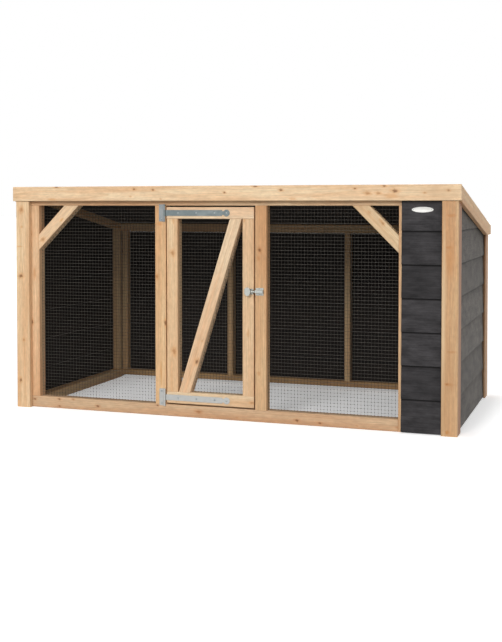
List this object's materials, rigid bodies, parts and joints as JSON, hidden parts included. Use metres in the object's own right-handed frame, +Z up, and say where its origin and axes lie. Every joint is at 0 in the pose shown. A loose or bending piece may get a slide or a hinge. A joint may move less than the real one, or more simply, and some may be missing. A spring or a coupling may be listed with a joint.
{
  "type": "pet run",
  "caption": "Low timber pet run with a sloping roof, black clad sides and back, mesh front bays, a braced mesh door on tee hinges and a sliding bolt.",
  "frame": {"origin": "on the ground under the middle of the roof's outline", "axes": "+X to the right along the front, +Y from the front to the back, +Z up"},
  "size_m": [1.79, 0.9, 0.89],
  "materials": {
    "planed_softwood": "planed, untreated softwood with knots",
    "black_stained_board": "rough-sawn board with a matt black stain",
    "galvanised_wire": "welded wire, galvanised, dull",
    "galvanised_steel": "pressed steel, galvanised, satin",
    "roofing_felt": "mineral-coated bitumen felt, matt"
  },
  "bodies": {
    "run": {"front_bottom_rail": "planed_softwood", "panel_bottom_rail": "planed_softwood", "front_top_rail": "planed_softwood", "left_end_stile": "planed_softwood", "hinge_stile": "planed_softwood", "latch_stile": "planed_softwood", "right_bay_stile": "planed_softwood", "right_end_stile": "planed_softwood", "left_corner_brace": "planed_softwood", "right_corner_brace": "planed_softwood", "left_bottom_rail": "planed_softwood", "left_top_rail": "planed_softwood", "left_front_stud": "planed_softwood", "left_rear_stud": "planed_softwood", "right_bottom_rail": "planed_softwood", "right_top_rail": "planed_softwood", "right_front_stud": "planed_softwood", "right_rear_stud": "planed_softwood", "back_bottom_rail": "planed_softwood", "back_top_rail": "planed_softwood", "back_left_stud": "planed_softwood", "back_middle_left_stud": "planed_softwood", "back_right_stud": "planed_softwood", "back_middle_right_stud": "planed_softwood", "front_fascia": "planed_softwood", "back_fascia": "planed_softwood", "left_front_corner_board": "planed_softwood", "left_rear_corner_board": "planed_softwood", "front_left_corner_board": "planed_softwood", "back_left_corner_board": "planed_softwood", "left_fascia": "planed_softwood", "right_front_corner_board": "planed_softwood", "right_rear_corner_board": "planed_softwood", "front_right_corner_board": "planed_softwood", "back_right_corner_board": "planed_softwood", "right_fascia": "planed_softwood", "front_cladding": "black_stained_board", "back_cladding": "black_stained_board", "roof_boards": "black_stained_board", "left_cladding": "black_stained_board", "right_cladding": "black_stained_board", "left_mesh_panel": "galvanised_wire", "right_mesh_panel": "galvanised_wire", "upper_hinge_leaf": "galvanised_steel", "lower_hinge_leaf": "galvanised_steel", "hinge_pins": "galvanised_steel", "bolt_keeper": "galvanised_steel", "frame_screws": "galvanised_steel", "roof_felt": "roofing_felt"},
    "door": {"door_top_rail": "planed_softwood", "door_bottom_rail": "planed_softwood", "door_hinge_side_stile": "planed_softwood", "door_latch_side_stile": "planed_softwood", "door_brace": "planed_softwood", "upper_hinge_strap": "galvanised_steel", "lower_hinge_strap": "galvanised_steel", "bolt_guide": "galvanised_steel", "door_screws": "galvanised_steel", "door_mesh_panel": "galvanised_wire"},
    "bolt": {"bolt_bar": "galvanised_steel"}
  },
  "joints": [
    {"name": "door_swing", "type": "hinge", "parent": "run", "child": "door", "pos_m": [-0.242, -0.4273, 0.43], "axis": [0, 0, -1], "range_deg": [0, 170]},
    {"name": "bolt_slide", "type": "slide", "parent": "door", "child": "bolt", "axis": [1, 0, 0], "range_m": [-0.005, 0.014]}
  ]
}
